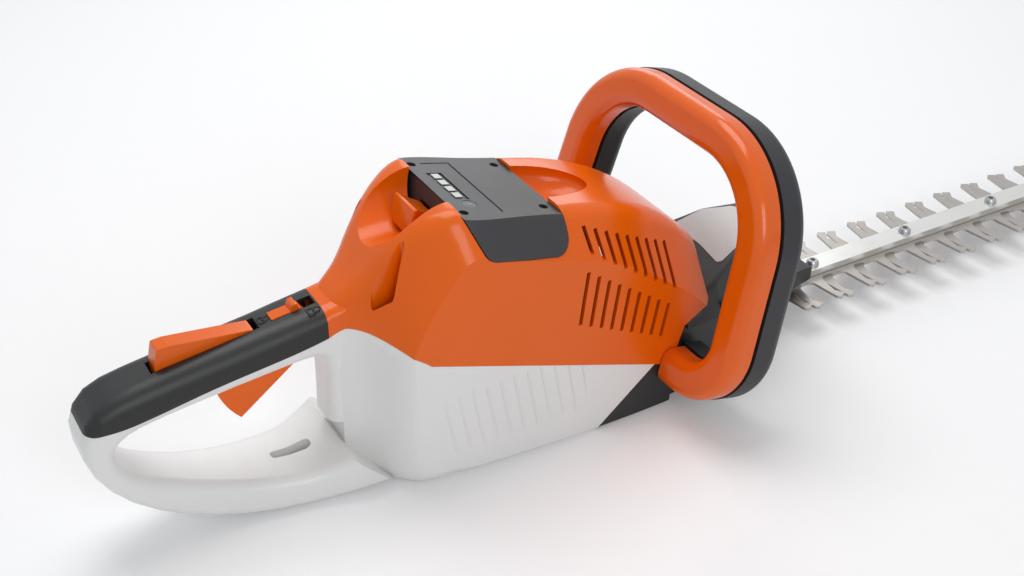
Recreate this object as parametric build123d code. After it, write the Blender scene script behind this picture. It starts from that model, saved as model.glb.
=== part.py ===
from build123d import *
import os
from math import cos, pi, radians, sin, tan

# Battery hedge trimmer. Millimetres. +X runs forward along the blade, +Y is the tool's left, +Z is up.
# The origin lies in the flat underside that the tool rests on.

# ---------------------------------------------------------------- driving dimensions
overall_length = 1030.0       # rear end of the grip to the tip of the guide bar
rear_reach = 270.0            # origin back to the rear end of the grip
housing_width = 109.0         # across the flat side panels
housing_wall = 3.0            # moulded casing wall
neck_x = -124.0               # front end of the black grip cover
joint_gap = 0.15              # light gap between two mouldings that butt
slide_gap = 0.35              # free play round a part that slides or swings
screw_d = 4.0                 # housing screw shank
screw_head_d = 7.4            # housing screw head

battery_tilt = 14.0           # battery leans back from vertical, degrees
battery_length = 67.0         # top face, along the tool
battery_width = 76.0          # top face, across the tool
battery_depth = 112.0         # block below its cap
bay_wall = 2.0                # battery bay liner

blade_plane = 20.0            # height of the face between the two blades
blade_thickness = 2.0
blade_gap = 0.10              # between the sliding blades
tooth_pitch = 30.0
tooth_count = 17
tooth_reach = 38.5            # centreline to tooth tip
root_reach = 10.2             # centreline to the root of the gap between teeth
first_tooth_x = 226.0         # neck of the rearmost tooth of the upper blade
blade_offset = 5.0            # each blade's shift from mid-stroke as the tool is at rest
stroke = 15.0                 # of each blade, twice the crank throw
rail_width = 15.6
rail_height = 5.0
bolt_d = 5.0
bolt_pitch = 90.0
bolt_count = 6
first_bolt_x = 262.0

crank_x = 140.0               # axis of the crank gear
gear_module = 1.5
gear_teeth = 40
pinion_teeth = 9
gear_face = 7.0
gear_z = 36.0                 # underside of the crank gear
crank_shaft_d = 9.0
motor_d = 40.0
motor_length = 42.0
deck_z = 52.0                 # underside of the gearbox cover
deck_thickness = 4.0

loop_lean = 15.0              # front handle leans forward, degrees
loop_foot_x = 106.0           # centreline of the handle's bottom bar
loop_foot_z = 31.0
loop_height = 152.0           # bottom to top centreline, along the lean
loop_half_bottom = 104.0      # half width of the centreline at the bottom corners
loop_half_top = 90.0
loop_round_bottom = 34.0
loop_round_top = 62.0
loop_thickness = 25.0         # across the tube, in the handle's plane
loop_rear_depth = 16.0        # orange half
loop_front_depth = 21.0       # black half, the switch bar
loop_slot = 2.4               # open gap between the halves
loop_wall = 3.0

# ---------------------------------------------------------------- values worked out from them
tip_x = overall_length - rear_reach
half_housing = housing_width / 2
gear_pitch_r = gear_module * gear_teeth / 2
pinion_pitch_r = gear_module * pinion_teeth / 2
gear_centres = gear_pitch_r + pinion_pitch_r + 0.3
motor_x = crank_x - gear_centres
lean_plane = Plane(origin=(loop_foot_x, 0, loop_foot_z), x_dir=(0, 1, 0),
                   z_dir=(cos(radians(loop_lean)), 0, -sin(radians(loop_lean))))
battery_rear = Vector(-47, 0, 178)
battery_plane = Plane(origin=battery_rear, x_dir=(cos(radians(battery_tilt)), 0, -sin(radians(battery_tilt))),
                      z_dir=(sin(radians(battery_tilt)), 0, cos(radians(battery_tilt))))


# ---------------------------------------------------------------- helpers
def rounded_outline(corners):
    """Closed flat outline through corners (x, y, radius): straight runs joined by arcs."""
    edges = []
    arrive = []
    leave = []
    for i, (x, y, radius) in enumerate(corners):
        here = Vector(x, y)
        back = (Vector(*corners[i - 1][:2]) - here).normalized()
        on = (Vector(*corners[(i + 1) % len(corners)][:2]) - here).normalized()
        if radius == 0:
            arrive.append(here)
            leave.append(here)
            continue
        half = radians(back.get_angle(on)) / 2
        centre = here + (back + on).normalized() * (radius / sin(half))
        middle = centre + (here - centre).normalized() * radius
        arrive.append(here + back * (radius / tan(half)))
        leave.append(here + on * (radius / tan(half)))
        edges.append(ThreePointArc(arrive[-1], middle, leave[-1]))
    for i in range(len(corners)):
        if (arrive[i] - leave[i - 1]).length > 1e-4:
            edges.append(Line(leave[i - 1], arrive[i]))
    return make_face(edges)


def side_slab(outline, y_from, y_to):
    """Outline drawn in X and Z, made solid between two Y values."""
    return extrude(Plane.XZ.offset(-y_to) * outline, amount=y_to - y_from)


def plan_slab(outline, z_from, z_to):
    """Outline drawn in X and Y, made solid between two heights."""
    return extrude(Plane.XY.offset(z_from) * outline, amount=z_to - z_from)


def block(x0, x1, y0, y1, z0, z1):
    """Box from its lowest and highest corners."""
    return Pos((x0 + x1) / 2, (y0 + y1) / 2, (z0 + z1) / 2) * Box(x1 - x0, y1 - y0, z1 - z0)


def upright(x, y, z0, z1, radius):
    """Round bar standing from z0 to z1."""
    return Pos(x, y, (z0 + z1) / 2) * Cylinder(radius, z1 - z0)


def across(x, z, y0, y1, radius):
    """Round bar lying along Y from y0 to y1."""
    return Pos(x, (y0 + y1) / 2, z) * Rot(90, 0, 0) * Cylinder(radius, y1 - y0)


def spring(start, end, radius, wire, turns):
    """Coil spring between two points, as stacked square-wire turns joined by one back wire."""
    line = Vector(*end) - Vector(*start)
    frame = Plane(origin=start, z_dir=line)
    pitch = (line.length - wire) / (turns - 1)
    ring = Cylinder(radius + wire / 2, wire) - Cylinder(radius - wire / 2, wire * 2)
    turns_at = [frame * Pos(0, 0, wire / 2 + i * pitch) * ring for i in range(turns)]
    back = frame * Pos(radius, 0, line.length / 2) * Box(wire, wire, line.length - wire / 2)
    return Part() + [*turns_at, back]


def mirrored(part):
    """The part and its mirror image across the tool's middle plane."""
    return Part() + [part, mirror(part, about=Plane.XZ)]


# ---------------------------------------------------------------- housing form
# One row per cross-section: x, underside z, half width low, rounding of the long bottom edge,
# half width at the crease, crease z, half width at the top, top z, rounding at the top corner.
body_sections = [
    (-118, 11, 14, 5, 16, 101, 14, 128, 8),
    (-110, 8, 21, 9, 23, 101, 16, 134, 9),
    (-100, 4, 34, 15, 37, 101, 19, 143, 12),
    (-88, 0.6, 50, 22, 55, 105, 24, 158, 13),
    (-72, 0, 55, 21, 59, 128, 31, 173, 14),
    (-52, 0, 56, 18, 59, 153, 38, 181, 13),
    (-10, 0, 56, 12, 59, 142, 39, 171.5, 13),
    (32, 0, 56, 8, 59, 127, 39, 161, 15),
    (77, 0, 56, 7, 59, 101, 36, 146, 16),
    (104, 0, 55, 7, 58, 81, 33, 129, 16),
    (126, 0, 50, 7, 53, 67, 28, 108, 14),
]


def body_section(row, inset):
    """One cross-section of the housing, drawn in Y and Z."""
    x, low, half_low, foot_round, half_crease, crease, half_top, top, round_top = row
    half_low -= inset
    half_crease -= inset
    half_top -= inset
    low += inset
    top -= inset
    crease -= inset * 0.3
    foot = max(foot_round - inset, 1.0)
    shoulder = max(round_top - inset, 3.0)
    outline = rounded_outline([
        (half_low, low, foot), (half_crease, crease, 0), (half_top, top, shoulder),
        (-half_top, top, shoulder), (-half_crease, crease, 0), (-half_low, low, foot)])
    return Plane.YZ.offset(x) * outline


def housing_form(inset):
    """Closed body of the motor and battery housing; inset gives the inner face of its wall."""
    form = loft([body_section(row, inset) for row in body_sections], ruled=inset > 0)
    side = half_housing - inset
    cheek = block(-140, 140, side, 90, -20, 220)
    cheek = Pos(0, side, 60) * Rot(-0.8, 0, 0) * Pos(0, -side, -60) * cheek
    return form - mirrored(cheek)


# One row per cross-section round the D-shaped rear handle, from its root in the housing over the grip:
# outer x and z, inner x and z (the edge of the finger opening), half width, rounding of the corners.
handle_sections = [
    (-97, 44, -125.5, 44, 15, 9),
    (-94, 90, -124.0, 82, 16, 9),
    (-97, 127, -128.0, 94.0, 18, 10),
    (-124, 127.0, -140.0, 96.0, 19, 11),
    (-160, 122.4, -165.0, 93.3, 19, 12),
    (-200, 117.4, -203.0, 89.6, 19, 12),
    (-236, 112.4, -236.0, 85.6, 19, 11),
    (-259, 105.0, -248.0, 81.5, 18.5, 9),
    (-270, 87, -253.0, 75.0, 18, 7.5),
    (-266, 62, -250.5, 64.0, 18, 7),
    (-249, 37, -240.0, 53.5, 18.5, 7.5),
    (-221, 16.5, -214.0, 39.5, 20, 8),
    (-186, 4.5, -182.0, 28.5, 24.5, 8),
    (-152, 1.2, -150.0, 23.5, 30, 8),
    (-118, 1.8, -133.5, 26.0, 35, 8),
    (-97, 6, -121.0, 30.0, 40, 9),
]


handle_steps = 2


def handle_section(row, inset=0.0):
    """One rounded cross-section of the rear handle."""
    outer = Vector(row[0], 0, row[1])
    inner = Vector(row[2], 0, row[3])
    across_bar = (outer - inner).normalized()
    frame = Plane(origin=(outer + inner) / 2, x_dir=(0, 1, 0), z_dir=Vector(0, 1, 0).cross(across_bar))
    half_deep = (outer - inner).length / 2 - inset
    half_wide = row[4] - inset
    radius = max(min(row[5] - inset * 0.6, half_deep - 0.5), 2.0)
    return frame * rounded_outline([(half_wide, half_deep, radius), (-half_wide, half_deep, radius),
                                    (-half_wide, -half_deep, radius), (half_wide, -half_deep, radius)])


def between(a, b, c, d, t):
    """Value on the smooth curve through four even steps, at share t from b to c."""
    return 0.5 * (2 * b + (c - a) * t + (2 * a - 5 * b + 4 * c - d) * t ** 2 + (3 * b - a - 3 * c + d) * t ** 3)


def handle_rows():
    """The rows above with steps added between them, so that straight-sided spans look smooth."""
    last = len(handle_sections) - 1
    rows = []
    for i in range(last):
        four = [handle_sections[min(max(k, 0), last)] for k in (i - 1, i, i + 1, i + 2)]
        for step in range(handle_steps):
            rows.append([between(*values, step / handle_steps) for values in zip(*four)])
    return rows + [list(handle_sections[-1])]


def handle_form():
    """Closed D-shaped handle."""
    return loft([handle_section(row) for row in handle_rows()], ruled=True)


def grip_space(wall):
    """Hollow inside the grip, for the switch and its levers."""
    return loft([handle_section(row, wall) for row in handle_sections[2:8]], ruled=True)


# seams between the mouldings, drawn in X and Z
grip_seam = [(-300, 104), (-270, 94), (-256, 92.5), (-200, 99.5), (-142, 107), (neck_x, 110)]
housing_seam = [(neck_x, 110), (-108, 112.5), (-92, 107), (-77, 95.5)]
side_seam_end = (96, 32.5)
nose_points = [(105, 60), (120, 69.5), (128, 72.5), (140, 130)]
base_joint = [(92, 44.8), (26, -11.3)]         # slanted joint of the white shell and the gear housing


def seam_line(part_gap):
    """Seam from the rear end to the front of the housing, moved up by part_gap."""
    rear = Spline([(x, z + part_gap) for x, z in grip_seam])
    sweep_up = Spline([(x, z + part_gap) for x, z in housing_seam])
    straight = Line((housing_seam[-1][0], housing_seam[-1][1] + part_gap),
                    (side_seam_end[0], side_seam_end[1] + part_gap))
    return rear, sweep_up, straight


def upper_region():
    """Everything that belongs to the orange shell, seen from the side."""
    _, sweep_up, straight = seam_line(joint_gap / 2)
    ahead = Polyline(straight @ 1, *nose_points, (140, 230), (neck_x, 230), sweep_up @ 0)
    return side_slab(make_face([sweep_up, straight, *ahead.edges()]), -80, 80)


def cover_region():
    """Everything that belongs to the black grip cover."""
    rear, _, _ = seam_line(joint_gap / 2)
    close = Polyline(rear @ 1, (neck_x, 230), (-300, 230), rear @ 0)
    return side_slab(make_face([rear, *close.edges()]), -80, 80) - block(neck_x - joint_gap, 0, -90, 90, 0, 240)


def ahead_of_base_joint(gap):
    """Everything in front of the slanted joint, moved forward by gap."""
    (high_x, high_z), (low_x, low_z) = base_joint
    outline = Polyline((high_x + gap, high_z), (high_x + gap, 90), (300, 90), (300, low_z), (low_x + gap, low_z),
                       close=True)
    return side_slab(make_face(outline), -80, 80)


def lower_region():
    """Everything that belongs to the white shell."""
    rear, sweep_up, straight = seam_line(-joint_gap / 2)
    close = Polyline(straight @ 1, (side_seam_end[0], -20), (-300, -20), rear @ 0)
    whole = side_slab(make_face([rear, sweep_up, straight, *close.edges()]), -80, 80)
    return whole - ahead_of_base_joint(0)


# ---------------------------------------------------------------- battery
cap_corners = [(0, 0, 0), (13, -20.5, 12), (72, -20.5, 9), (68, 0, 0)]
cap_screws = [(4.6, 33.0), (4.6, -33.0), (61.0, 29.5), (61.0, -29.5)]
charge_button = (14.5, -22.0)
block_from = 1.0              # battery block, from its rear face forward
block_to = battery_length - 1.5
block_half = battery_width / 2 - 3.5


def battery_side_slab(corners, grow):
    """Outline in the battery's own length and depth, made solid across the tool."""
    face = rounded_outline(corners)
    face = offset(face, amount=grow) if grow else face
    return battery_plane * extrude(Plane.XZ.offset(-80) * face, amount=160)


def battery_block(grow, top, bottom):
    """The battery's straight block between two depths, grown sideways."""
    return battery_plane * block(block_from - grow, block_to + grow, -block_half - grow, block_half + grow,
                                 bottom, top)


def battery_cap():
    cap = housing_form(-0.5) & battery_side_slab(cap_corners, 0)
    cap = cap + battery_block(0, 0, cap_corners[1][1])
    for u, y in cap_screws:
        cap -= battery_plane * Pos(u, y, -3) * Cylinder(2.9, 6.01)
        cap -= battery_plane * Pos(u, y, -9) * Cylinder(1.6, 12)
    cap -= battery_plane * Pos(*charge_button, -2.45) * Cylinder(4.3, 4.92)
    cap -= battery_plane * block(7.7, 18.0, -16.5, 20.0, -0.8, 1)
    cap -= battery_plane * block(29.6, 30.8, -34.0, 33.5, -0.8, 1)
    cap -= battery_plane * block(11.0, 30.8, 33.0, 34.2, -0.8, 1)
    cap -= latch_notch()
    return cap


def latch_notch():
    """Notch in the battery's rear face that the lock lever's tooth enters."""
    return battery_plane * block(block_from - 2, block_from + 3.2, -9, 9, -19, -11)


def battery_case():
    top = cap_corners[1][1] - 0.05
    case = battery_block(0, top, -battery_depth)
    for side in (-1, 1):
        case -= battery_plane * block(12, 20, side * block_half - 2, side * block_half + 2, -battery_depth - 1, -40)
        case -= battery_plane * block(46, 54, side * block_half - 2, side * block_half + 2, -battery_depth - 1, -40)
    for y in (-18, 0, 18):
        case -= battery_plane * block(24, 44, y - 1.6, y + 1.6, -battery_depth - 1, -battery_depth + 9)
    return case


def battery_cap_screws():
    screws = []
    for u, y in cap_screws:
        head = battery_plane * Pos(u, y, -4.6) * Cylinder(2.7, 2.6)
        head -= battery_plane * Pos(u, y, -4.4) * extrude(RegularPolygon(1.3, 6), amount=2)
        screws.append(head + battery_plane * Pos(u, y, -10) * Cylinder(1.45, 9.5))
    return Part() + screws


def led_bars():
    """Four lit bars of the charge gauge, in their recess."""
    bars = []
    for i in range(4):
        y = 16.0 - i * 8.6
        bars.append(battery_plane * block(10.4, 15.4, y - 3.0, y + 3.0, -0.75, -0.1))
    return Part() + bars


def charge_gauge_button():
    ring = battery_plane * Pos(*charge_button, -1.9) * Cylinder(4.0, 3.4)
    return ring - battery_plane * Pos(*charge_button, 0) * Torus(2.6, 0.4)


# ---------------------------------------------------------------- battery bay
bay_floor_depth = battery_depth + 3.0


def battery_bay():
    """Liner that guides the battery, open at the top, on four feet."""
    outer = battery_block(slide_gap + bay_wall, -28, -bay_floor_depth - bay_wall)
    inner = battery_block(slide_gap, 10, -bay_floor_depth)
    liner = outer - inner
    for side in (-1, 1):
        rib = battery_plane * block(13, 19, side * block_half - 1.4, side * (block_half + 1), -bay_floor_depth, -44)
        liner += rib
    liner -= battery_plane * block(22, 46, -24, 24, -bay_floor_depth - 4, -bay_floor_depth + 1)
    feet = []
    for u in (6, 58):
        for y in (-28, 28):
            top = battery_plane.from_local_coords(Vector(u, y, -bay_floor_depth - bay_wall / 2))
            feet.append(upright(top.X, y, housing_wall + joint_gap, top.Z, 4))
    return liner + feet


def contact_block():
    """Terminal block that plugs into slots in the underside of the battery."""
    base = battery_plane * block(22.4, 45.6, -23.6, 23.6, -bay_floor_depth - 7, -bay_floor_depth - 0.2)
    for y in (-18, 0, 18):
        base += battery_plane * block(26, 42, y - 0.8, y + 0.8, -bay_floor_depth - 1, -battery_depth + 7)
    return base


def eject_springs():
    """Two springs that lift the battery when its lock lets go."""
    ends = -bay_floor_depth + 0.1
    return Part() + [battery_spring(10, y, ends, -battery_depth - 0.2) for y in (-20, 20)]


def battery_spring(u, y, low, high):
    start = battery_plane.from_local_coords(Vector(u, y, low))
    end = battery_plane.from_local_coords(Vector(u, y, high))
    return spring(tuple(start), tuple(end), 4.0, 0.9, 3)


# ---------------------------------------------------------------- housing shells
scoop_axis_z = 178.0
scoop_r = 24.0
recess_radii = (44.0, 23.0, 15.0)
pocket_floor = 120.0
pocket_corners = [(-104, 23, 2), (-90, 35.5, 2), (-74, 27, 2)]
rear_screw = (-90.5, 29.3)    # x and distance from the middle
front_screw = (28.0, 40.0)
vent_slots = 9
vent_pitch = 7.7
vent_width = 2.7


nose_wall = 2.5


def cavity_form():
    """Room inside the housing, closed at the nose and open toward the rear handle."""
    ends = [block(-130, body_sections[0][0] + housing_wall, -70, 70, -10, 220),
            block(body_sections[-1][0] - nose_wall, 140, -70, 70, -10, 220)]
    return housing_form(housing_wall) - ends


def shell_of(region):
    """The moulding that fills one region, hollowed to the wall thickness."""
    handle = handle_form() - hanging_slot()
    shell = (housing_form(0) & region) + (handle & region)
    shell -= cavity_form() & region
    return shell - grip_space(housing_wall)


def scoop(radius, x_to):
    """Trough behind the battery where the thumb reaches the lock lever."""
    trough = Pos((-112 + x_to) / 2, 0, scoop_axis_z) * Rot(0, 90, 0) * Cylinder(radius, x_to + 112)
    return trough + block(-112, x_to, -radius, radius, scoop_axis_z, scoop_axis_z + 30)


def recess(grow):
    """Finger hollow in front of the battery."""
    bowl = scale(Sphere(1), by=tuple(r + grow for r in recess_radii))
    bowl = battery_plane * Pos(battery_length - 1, 0, -1) * bowl
    return bowl - battery_plane * block(-60, battery_length + 1.2, -60, 60, -60, 60)


def pocket(grow, floor):
    """Upright three-cornered pocket over a rear housing screw."""
    plan = rounded_outline(pocket_corners)
    plan = offset(plan, amount=grow) if grow else plan
    return mirrored(plan_slab(plan, floor, 210))


def cap_opening():
    """Room for the battery, its cap and the way out above them."""
    above = battery_plane * block(-1.0, battery_length + 1.2, -80, 80, -0.5, 40)
    way = battery_block(slide_gap + bay_wall + 0.3, 40, -60)
    return battery_side_slab(cap_corners, 0.6) + above + way


def vents():
    """Two rows of cooling slots in each flank."""
    slots = []
    for i in range(vent_slots):
        x = 29.0 + i * vent_pitch
        crease = 126.0 - i * 5.4
        low = crease - 37.0 + i * 1.6
        slots.append(slanted_slot(x - 4.6, low, x, crease))
        x = 31.0 + i * vent_pitch
        slots.append(slanted_slot(x + 1.6, crease + 10.0, x, crease + 26.0 + i * 1.6))
    return Part() + [mirrored(slot) for slot in slots]


def slanted_slot(x_low, z_low, x_high, z_high):
    """One slot through the right flank, leaning with its neighbours."""
    half = vent_width / 2
    face = make_face(Polyline((x_low - half, z_low), (x_low + half, z_low), (x_high + half, z_high),
                              (x_high - half, z_high), close=True))
    return side_slab(face, -70, -24)


def screw_tower(x, y, z_from, z_to):
    """Hollow post that a housing screw runs into."""
    return upright(x, y, z_from, z_to, 4.6) - upright(x, y, z_from - 1, z_to + 1, screw_d / 2 + 0.15)


def upper_housing():
    """Orange shell: battery mouth, scoop for the thumb, finger hollow, screw pockets and vents."""
    region = upper_region()
    solid = housing_form(0) & region
    walls = [(scoop(scoop_r + housing_wall, -46) & solid) - battery_block(0, 60, -90),
             recess(housing_wall) & solid,
             pocket(housing_wall, pocket_floor - housing_wall) & solid]
    shell = shell_of(region) + walls
    holes = [upright(rear_screw[0], y, 90, pocket_floor + 1, screw_d / 2 + 0.3) for y in (-rear_screw[1], rear_screw[1])]
    shell -= [cap_opening(), scoop(scoop_r, -44), recess(0), pocket(0, pocket_floor), *holes]
    shell -= [vents(), mirrored(across(*foot_bolt_place(), 45, 60, foot_bolt_r + 3.3))]
    posts = [front_post(y) for y in (-front_screw[1], front_screw[1])]
    return shell + [latch_cheeks(), *posts]


def front_post(y):
    """Post in the orange shell that a front casing screw bites into."""
    x = front_screw[0]
    side = 1 if y > 0 else -1
    post = upright(x, y, front_tower_top + joint_gap, 78, 4.6)
    post += block(x - 1.2, x + 1.2, min(y, side * 52.5), max(y, side * 52.5), 58, 78)
    return post - upright(x, y, 40, 68, screw_d / 2 + 0.02)


# ---------------------------------------------------------------- battery lock
latch_pivot = (-60.5, 160.5)
latch_half = 10.0
pin_d = 3.0


def latch_cheeks():
    """Two ears in the scoop that hold the lock lever's pin."""
    ears = []
    for side in (-1, 1):
        y = side * (latch_half + slide_gap + 1.5)
        ear = block(latch_pivot[0] - 4, latch_pivot[0] + 4, y - 1.5, y + 1.5, 153, latch_pivot[1] + 4)
        ears.append(ear - across(*latch_pivot, y - 2, y + 2, pin_d / 2))
    return Part() + ears


def lock_lever():
    """Lever that locks the battery; its tooth stops just short of the notch, so that the battery slides freely."""
    face = rounded_outline([(-50.9, 166.5, 1), (-60, 180, 2), (-66, 177, 2), (-64, 157.4, 2), (-57, 157.4, 2),
                            (-52.6, 160.5, 1)])
    lever = side_slab(face, -latch_half, latch_half)
    tooth = battery_plane * side_slab(make_face(Polyline((-3.5, -16.6), (-1.6, -16.6), (-0.4, -15.2), (-0.4, -13.4),
                                                         (-3.5, -13.4), close=True)), -7, 7)
    return lever + tooth - across(*latch_pivot, -20, 20, pin_d / 2 + 0.05)


def lock_pin():
    reach = latch_half + slide_gap + 2.9
    return across(*latch_pivot, -reach, reach, pin_d / 2 - 0.02)


# ---------------------------------------------------------------- lower housing
hang_hole = [(-158.0, 3.1), (-140.0, 4.6)]     # two ends of the hanging slot: x and half width


def hanging_slot():
    """Drop-shaped slot through the lower bar of the handle."""
    (x0, r0), (x1, r1) = hang_hole
    drop = rounded_outline([(x0 - r0, r0, r0 * 0.8), (x0 - r0, -r0, r0 * 0.8), (x1 + r1, -r1, r1 * 0.8),
                            (x1 + r1, r1, r1 * 0.8)])
    return plan_slab(drop, -20, 50)


trigger_pivot = (-136.5, 101.5)
trigger_half = 6.5
trigger_r = 55.0
grip_screw_x = -240.0
front_tower_top = 49.0
board_z = 20.0
board_posts = [(22, 24), (36, 24)]


def trigger_slot():
    return block(-196, -132.5, -trigger_half - slide_gap, trigger_half + slide_gap, 70, 107)


rest_face_proud = 0.02        # the flat face the tool rests on stands this far below the moulding


def lower_housing():
    """White shell: belly of the housing and the D-shaped handle."""
    shell = shell_of(lower_region())
    towers = [screw_tower(rear_screw[0], y, housing_wall - 1, 106) for y in (-rear_screw[1], rear_screw[1])]
    towers += [screw_tower(front_screw[0], y, housing_wall - 1, front_tower_top)
               for y in (-front_screw[1], front_screw[1])]
    towers += [mirrored(upright(x, y, housing_wall - 1, board_z, 3)) for x, y in board_posts]
    shell += towers
    shell -= trigger_slot()
    shell -= across(*trigger_pivot, -15.85, 15.85, pin_d / 2)
    shell -= mirrored(upright(front_screw[0], front_screw[1], -1, 6, screw_d / 2 + 0.3))
    shell -= mirrored(upright(front_screw[0], front_screw[1], -1, 3.2, screw_head_d / 2 + 0.3))
    shell -= upright(grip_screw_x, 0, 70, 93, screw_d / 2 + 0.2)
    shell -= upright(grip_screw_x, 0, 70, 86.4, screw_head_d / 2 + 0.3)
    shell -= block(-300, 0, -80, 80, -30, 0)
    return shell + block(-24, 20, -36, 36, -rest_face_proud, 1)


# ---------------------------------------------------------------- grip cover and its controls
lever_pivot = (-166.0, 113.0)
lever_half = 5.5
slider_from = -152.0
slider_to = -133.5
slider_travel = 8.0
slider_half = 7.0


def grip_cover():
    """Soft black cover of the grip, with the slots of the lockout lever and the slide latch."""
    shell = (handle_form() & cover_region()) - grip_space(housing_wall)
    shell += upright(grip_screw_x, 0, 89.4, 110.5, 4.2) - upright(grip_screw_x, 0, 80, 106, screw_d / 2 + 0.02)
    lever_slot = block(-224.5, -160.0, -lever_half - slide_gap, lever_half + slide_gap, 95, 140)
    slide_slot = block(slider_from - 0.4, slider_to + slider_travel + 0.4, -4.5, 4.5, 105, 140)
    pin_seats = [across(*lever_pivot, -14.7, 14.7, pin_d / 2), across(*trigger_pivot, -15.85, 15.85, pin_d / 2)]
    return shell - [lever_slot, slide_slot, *pin_seats]


def lockout_lever():
    """Wedge on top of the grip that must be pressed before the trigger moves."""
    face = rounded_outline([(-222, 107.5, 1), (-222, 117.5, 2), (-219.5, 128, 1.5), (-213, 128.4, 2),
                            (-163.5, 122.2, 1.5), (-162, 110.6, 1.5), (-170, 110.6, 2), (-176, 113, 1), (-196, 113, 1),
                            (-199, 107.5, 1)])
    lever = side_slab(face, -lever_half, lever_half)
    return lever - across(*lever_pivot, -20, 20, pin_d / 2 + 0.05)


def slide_latch():
    """Slide that locks the lockout lever: a runner under the cover and a ribbed thumb piece."""
    frame = Plane(origin=(slider_from, 0, 123.6), x_dir=(cos(0.1245), 0, sin(0.1245)), z_dir=(-sin(0.1245), 0, cos(0.1245)))
    length = slider_to - slider_from
    top = frame * block(0, length, -4.1, 4.1, -6.5, 0.4)
    runner = frame * block(-3, length + 3, -8, 8, -8.5, -5.2)
    ridge = frame * side_slab(rounded_outline([(length - 7, 0, 0), (length - 5, 4.2, 1), (length - 2, 4.2, 1),
                                               (length - 1, 0, 0)]), -4.1, 4.1)
    return top + runner + ridge


def trigger():
    """Trigger blade: swings about its front end into the grip."""
    x, z = trigger_pivot
    rear_low = (x - 41, z - 36)
    face = make_face([Line((x + 3.5, z - 3), rear_low),
                      ThreePointArc(rear_low, (x - 50, z - 23), (x - trigger_r, z - 4)),
                      Line((x - trigger_r, z - 4), (x - trigger_r, z - 2)),
                      Line((x - trigger_r, z - 2), (x - 20, z + 4)), Line((x - 20, z + 4), (x + 3.5, z + 4)),
                      Line((x + 3.5, z + 4), (x + 3.5, z - 3))])
    blade = side_slab(face, -trigger_half, trigger_half)
    hollow = side_slab(offset(face, amount=-2.4), -trigger_half + 2.2, trigger_half - 2.2)
    return blade - hollow - across(x, z, -20, 20, pin_d / 2 + 0.05)


def pivot_pins():
    """Pins of the trigger and the lockout lever, held in the grip's walls."""
    pins = [across(*trigger_pivot, -15.8, 15.8, pin_d / 2 - 0.02), across(*lever_pivot, -14.6, 14.6, pin_d / 2 - 0.02)]
    return Part() + pins


def control_switch():
    """Snap switch behind the trigger, resting on the floor of the grip."""
    body = block(-208, -195, -7, 7, 88, 100.4) & grip_space(housing_wall + 0.05)
    body += block(-195.5, -193.4, -4, 4, 96.5, 98.5)
    return body - block(-209, -194, -8, -6.4, 95.6, 96.4)


def control_board():
    """Motor controller: board, capacitors and cooler."""
    board = block(18, 62, -30, 30, board_z + 0.05, board_z + 1.65)
    parts = [upright(26, y, board_z + 1.5, board_z + 17, 5) for y in (-16, 0, 16)]
    parts += [block(38, 58, -22, 22, board_z + 1.5, board_z + 4)]
    parts += [block(38, 58, -22 + i * 6, -20.5 + i * 6, board_z + 3.5, board_z + 13) for i in range(8)]
    return board + parts


def housing_screws():
    """Casing screws: two in the rear pockets, two under the front, one under the grip."""
    screws = []
    for y in (-rear_screw[1], rear_screw[1]):
        screws.append(pan_screw(rear_screw[0], y, pocket_floor + 0.1, 40, 1))
    for y in (-front_screw[1], front_screw[1]):
        screws.append(pan_screw(front_screw[0], y, 3.1, 60, -1))
    screws.append(pan_screw(grip_screw_x, 0, 86.3, 17, -1))
    return Part() + screws


def pan_screw(x, y, seat, length, up):
    """Screw standing at x, y; its head rests on seat and points up (1) or down (-1)."""
    head = upright(x, y, 0.02, 2.6, screw_head_d / 2) - upright(x, y, 1.2, 3, 1.6)
    shank = upright(x, y, -length, 0.1, screw_d / 2 - 0.05)
    screw = head + shank
    if up < 0:
        screw = Pos(x, y, 0) * Rot(180, 0, 0) * Pos(-x, -y, 0) * screw
    return Pos(0, 0, seat) * screw


# ---------------------------------------------------------------- gear housing
base_flat_to = 152.0          # the flat underside ends here
beak_x = 250.0
slot_half = 24.0
beak_slot_half = 13.0
blade_room = (13.4, 27.4)     # floor and ceiling of the slot the blades run in
well_floor = 5.0
foot_bolt_r = 3.0             # bolts that hold the front handle, one on each flank
rail_screw_x = (200.0, 228.0)
deck_screws_at = [(94.0, 38.0), (150.0, 37.2), (173.0, 27.0)]
gear_outer_r = gear_pitch_r + 0.8 * gear_module
pinion_outer_r = pinion_pitch_r + 0.8 * gear_module


def gearbox_form():
    """Outside of the cast housing, from its flat base to the beak over the guide bar."""
    side = rounded_outline([(41, 0, 0), (base_flat_to, 0, 10), (176, 9, 18), (216, 12, 3), (216, blade_room[1], 0),
                            (beak_x, blade_room[1], 3), (beak_x, 38, 8), (200, 45, 20), (182, deck_z, 6),
                            (88, deck_z, 0), (88, 40, 0)])
    plan = rounded_outline([(35, 50.5, 0), (112, 46.3, 30), (166, 41, 20), (200, 26, 20), (beak_x + 2, 14, 9),
                            (beak_x + 2, -14, 9), (200, -26, 20), (166, -41, 20), (112, -46.3, 30), (35, -50.5, 0)])
    flank = make_face(Polyline((26, -11.3), (83.1, 37.0), (96.2, 32.2), (102.5, deck_z), (96, -11.3), close=True))
    ahead = side_slab(side, -60, 60) & plan_slab(plan, -1, deck_z + 1)
    form = (ahead + (housing_form(0) & side_slab(flank, -80, 80))) & ahead_of_base_joint(joint_gap)
    x, z = foot_bolt_place()
    return form + mirrored(across(x, z, 44, 51.2, foot_bolt_r + 3))


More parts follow.
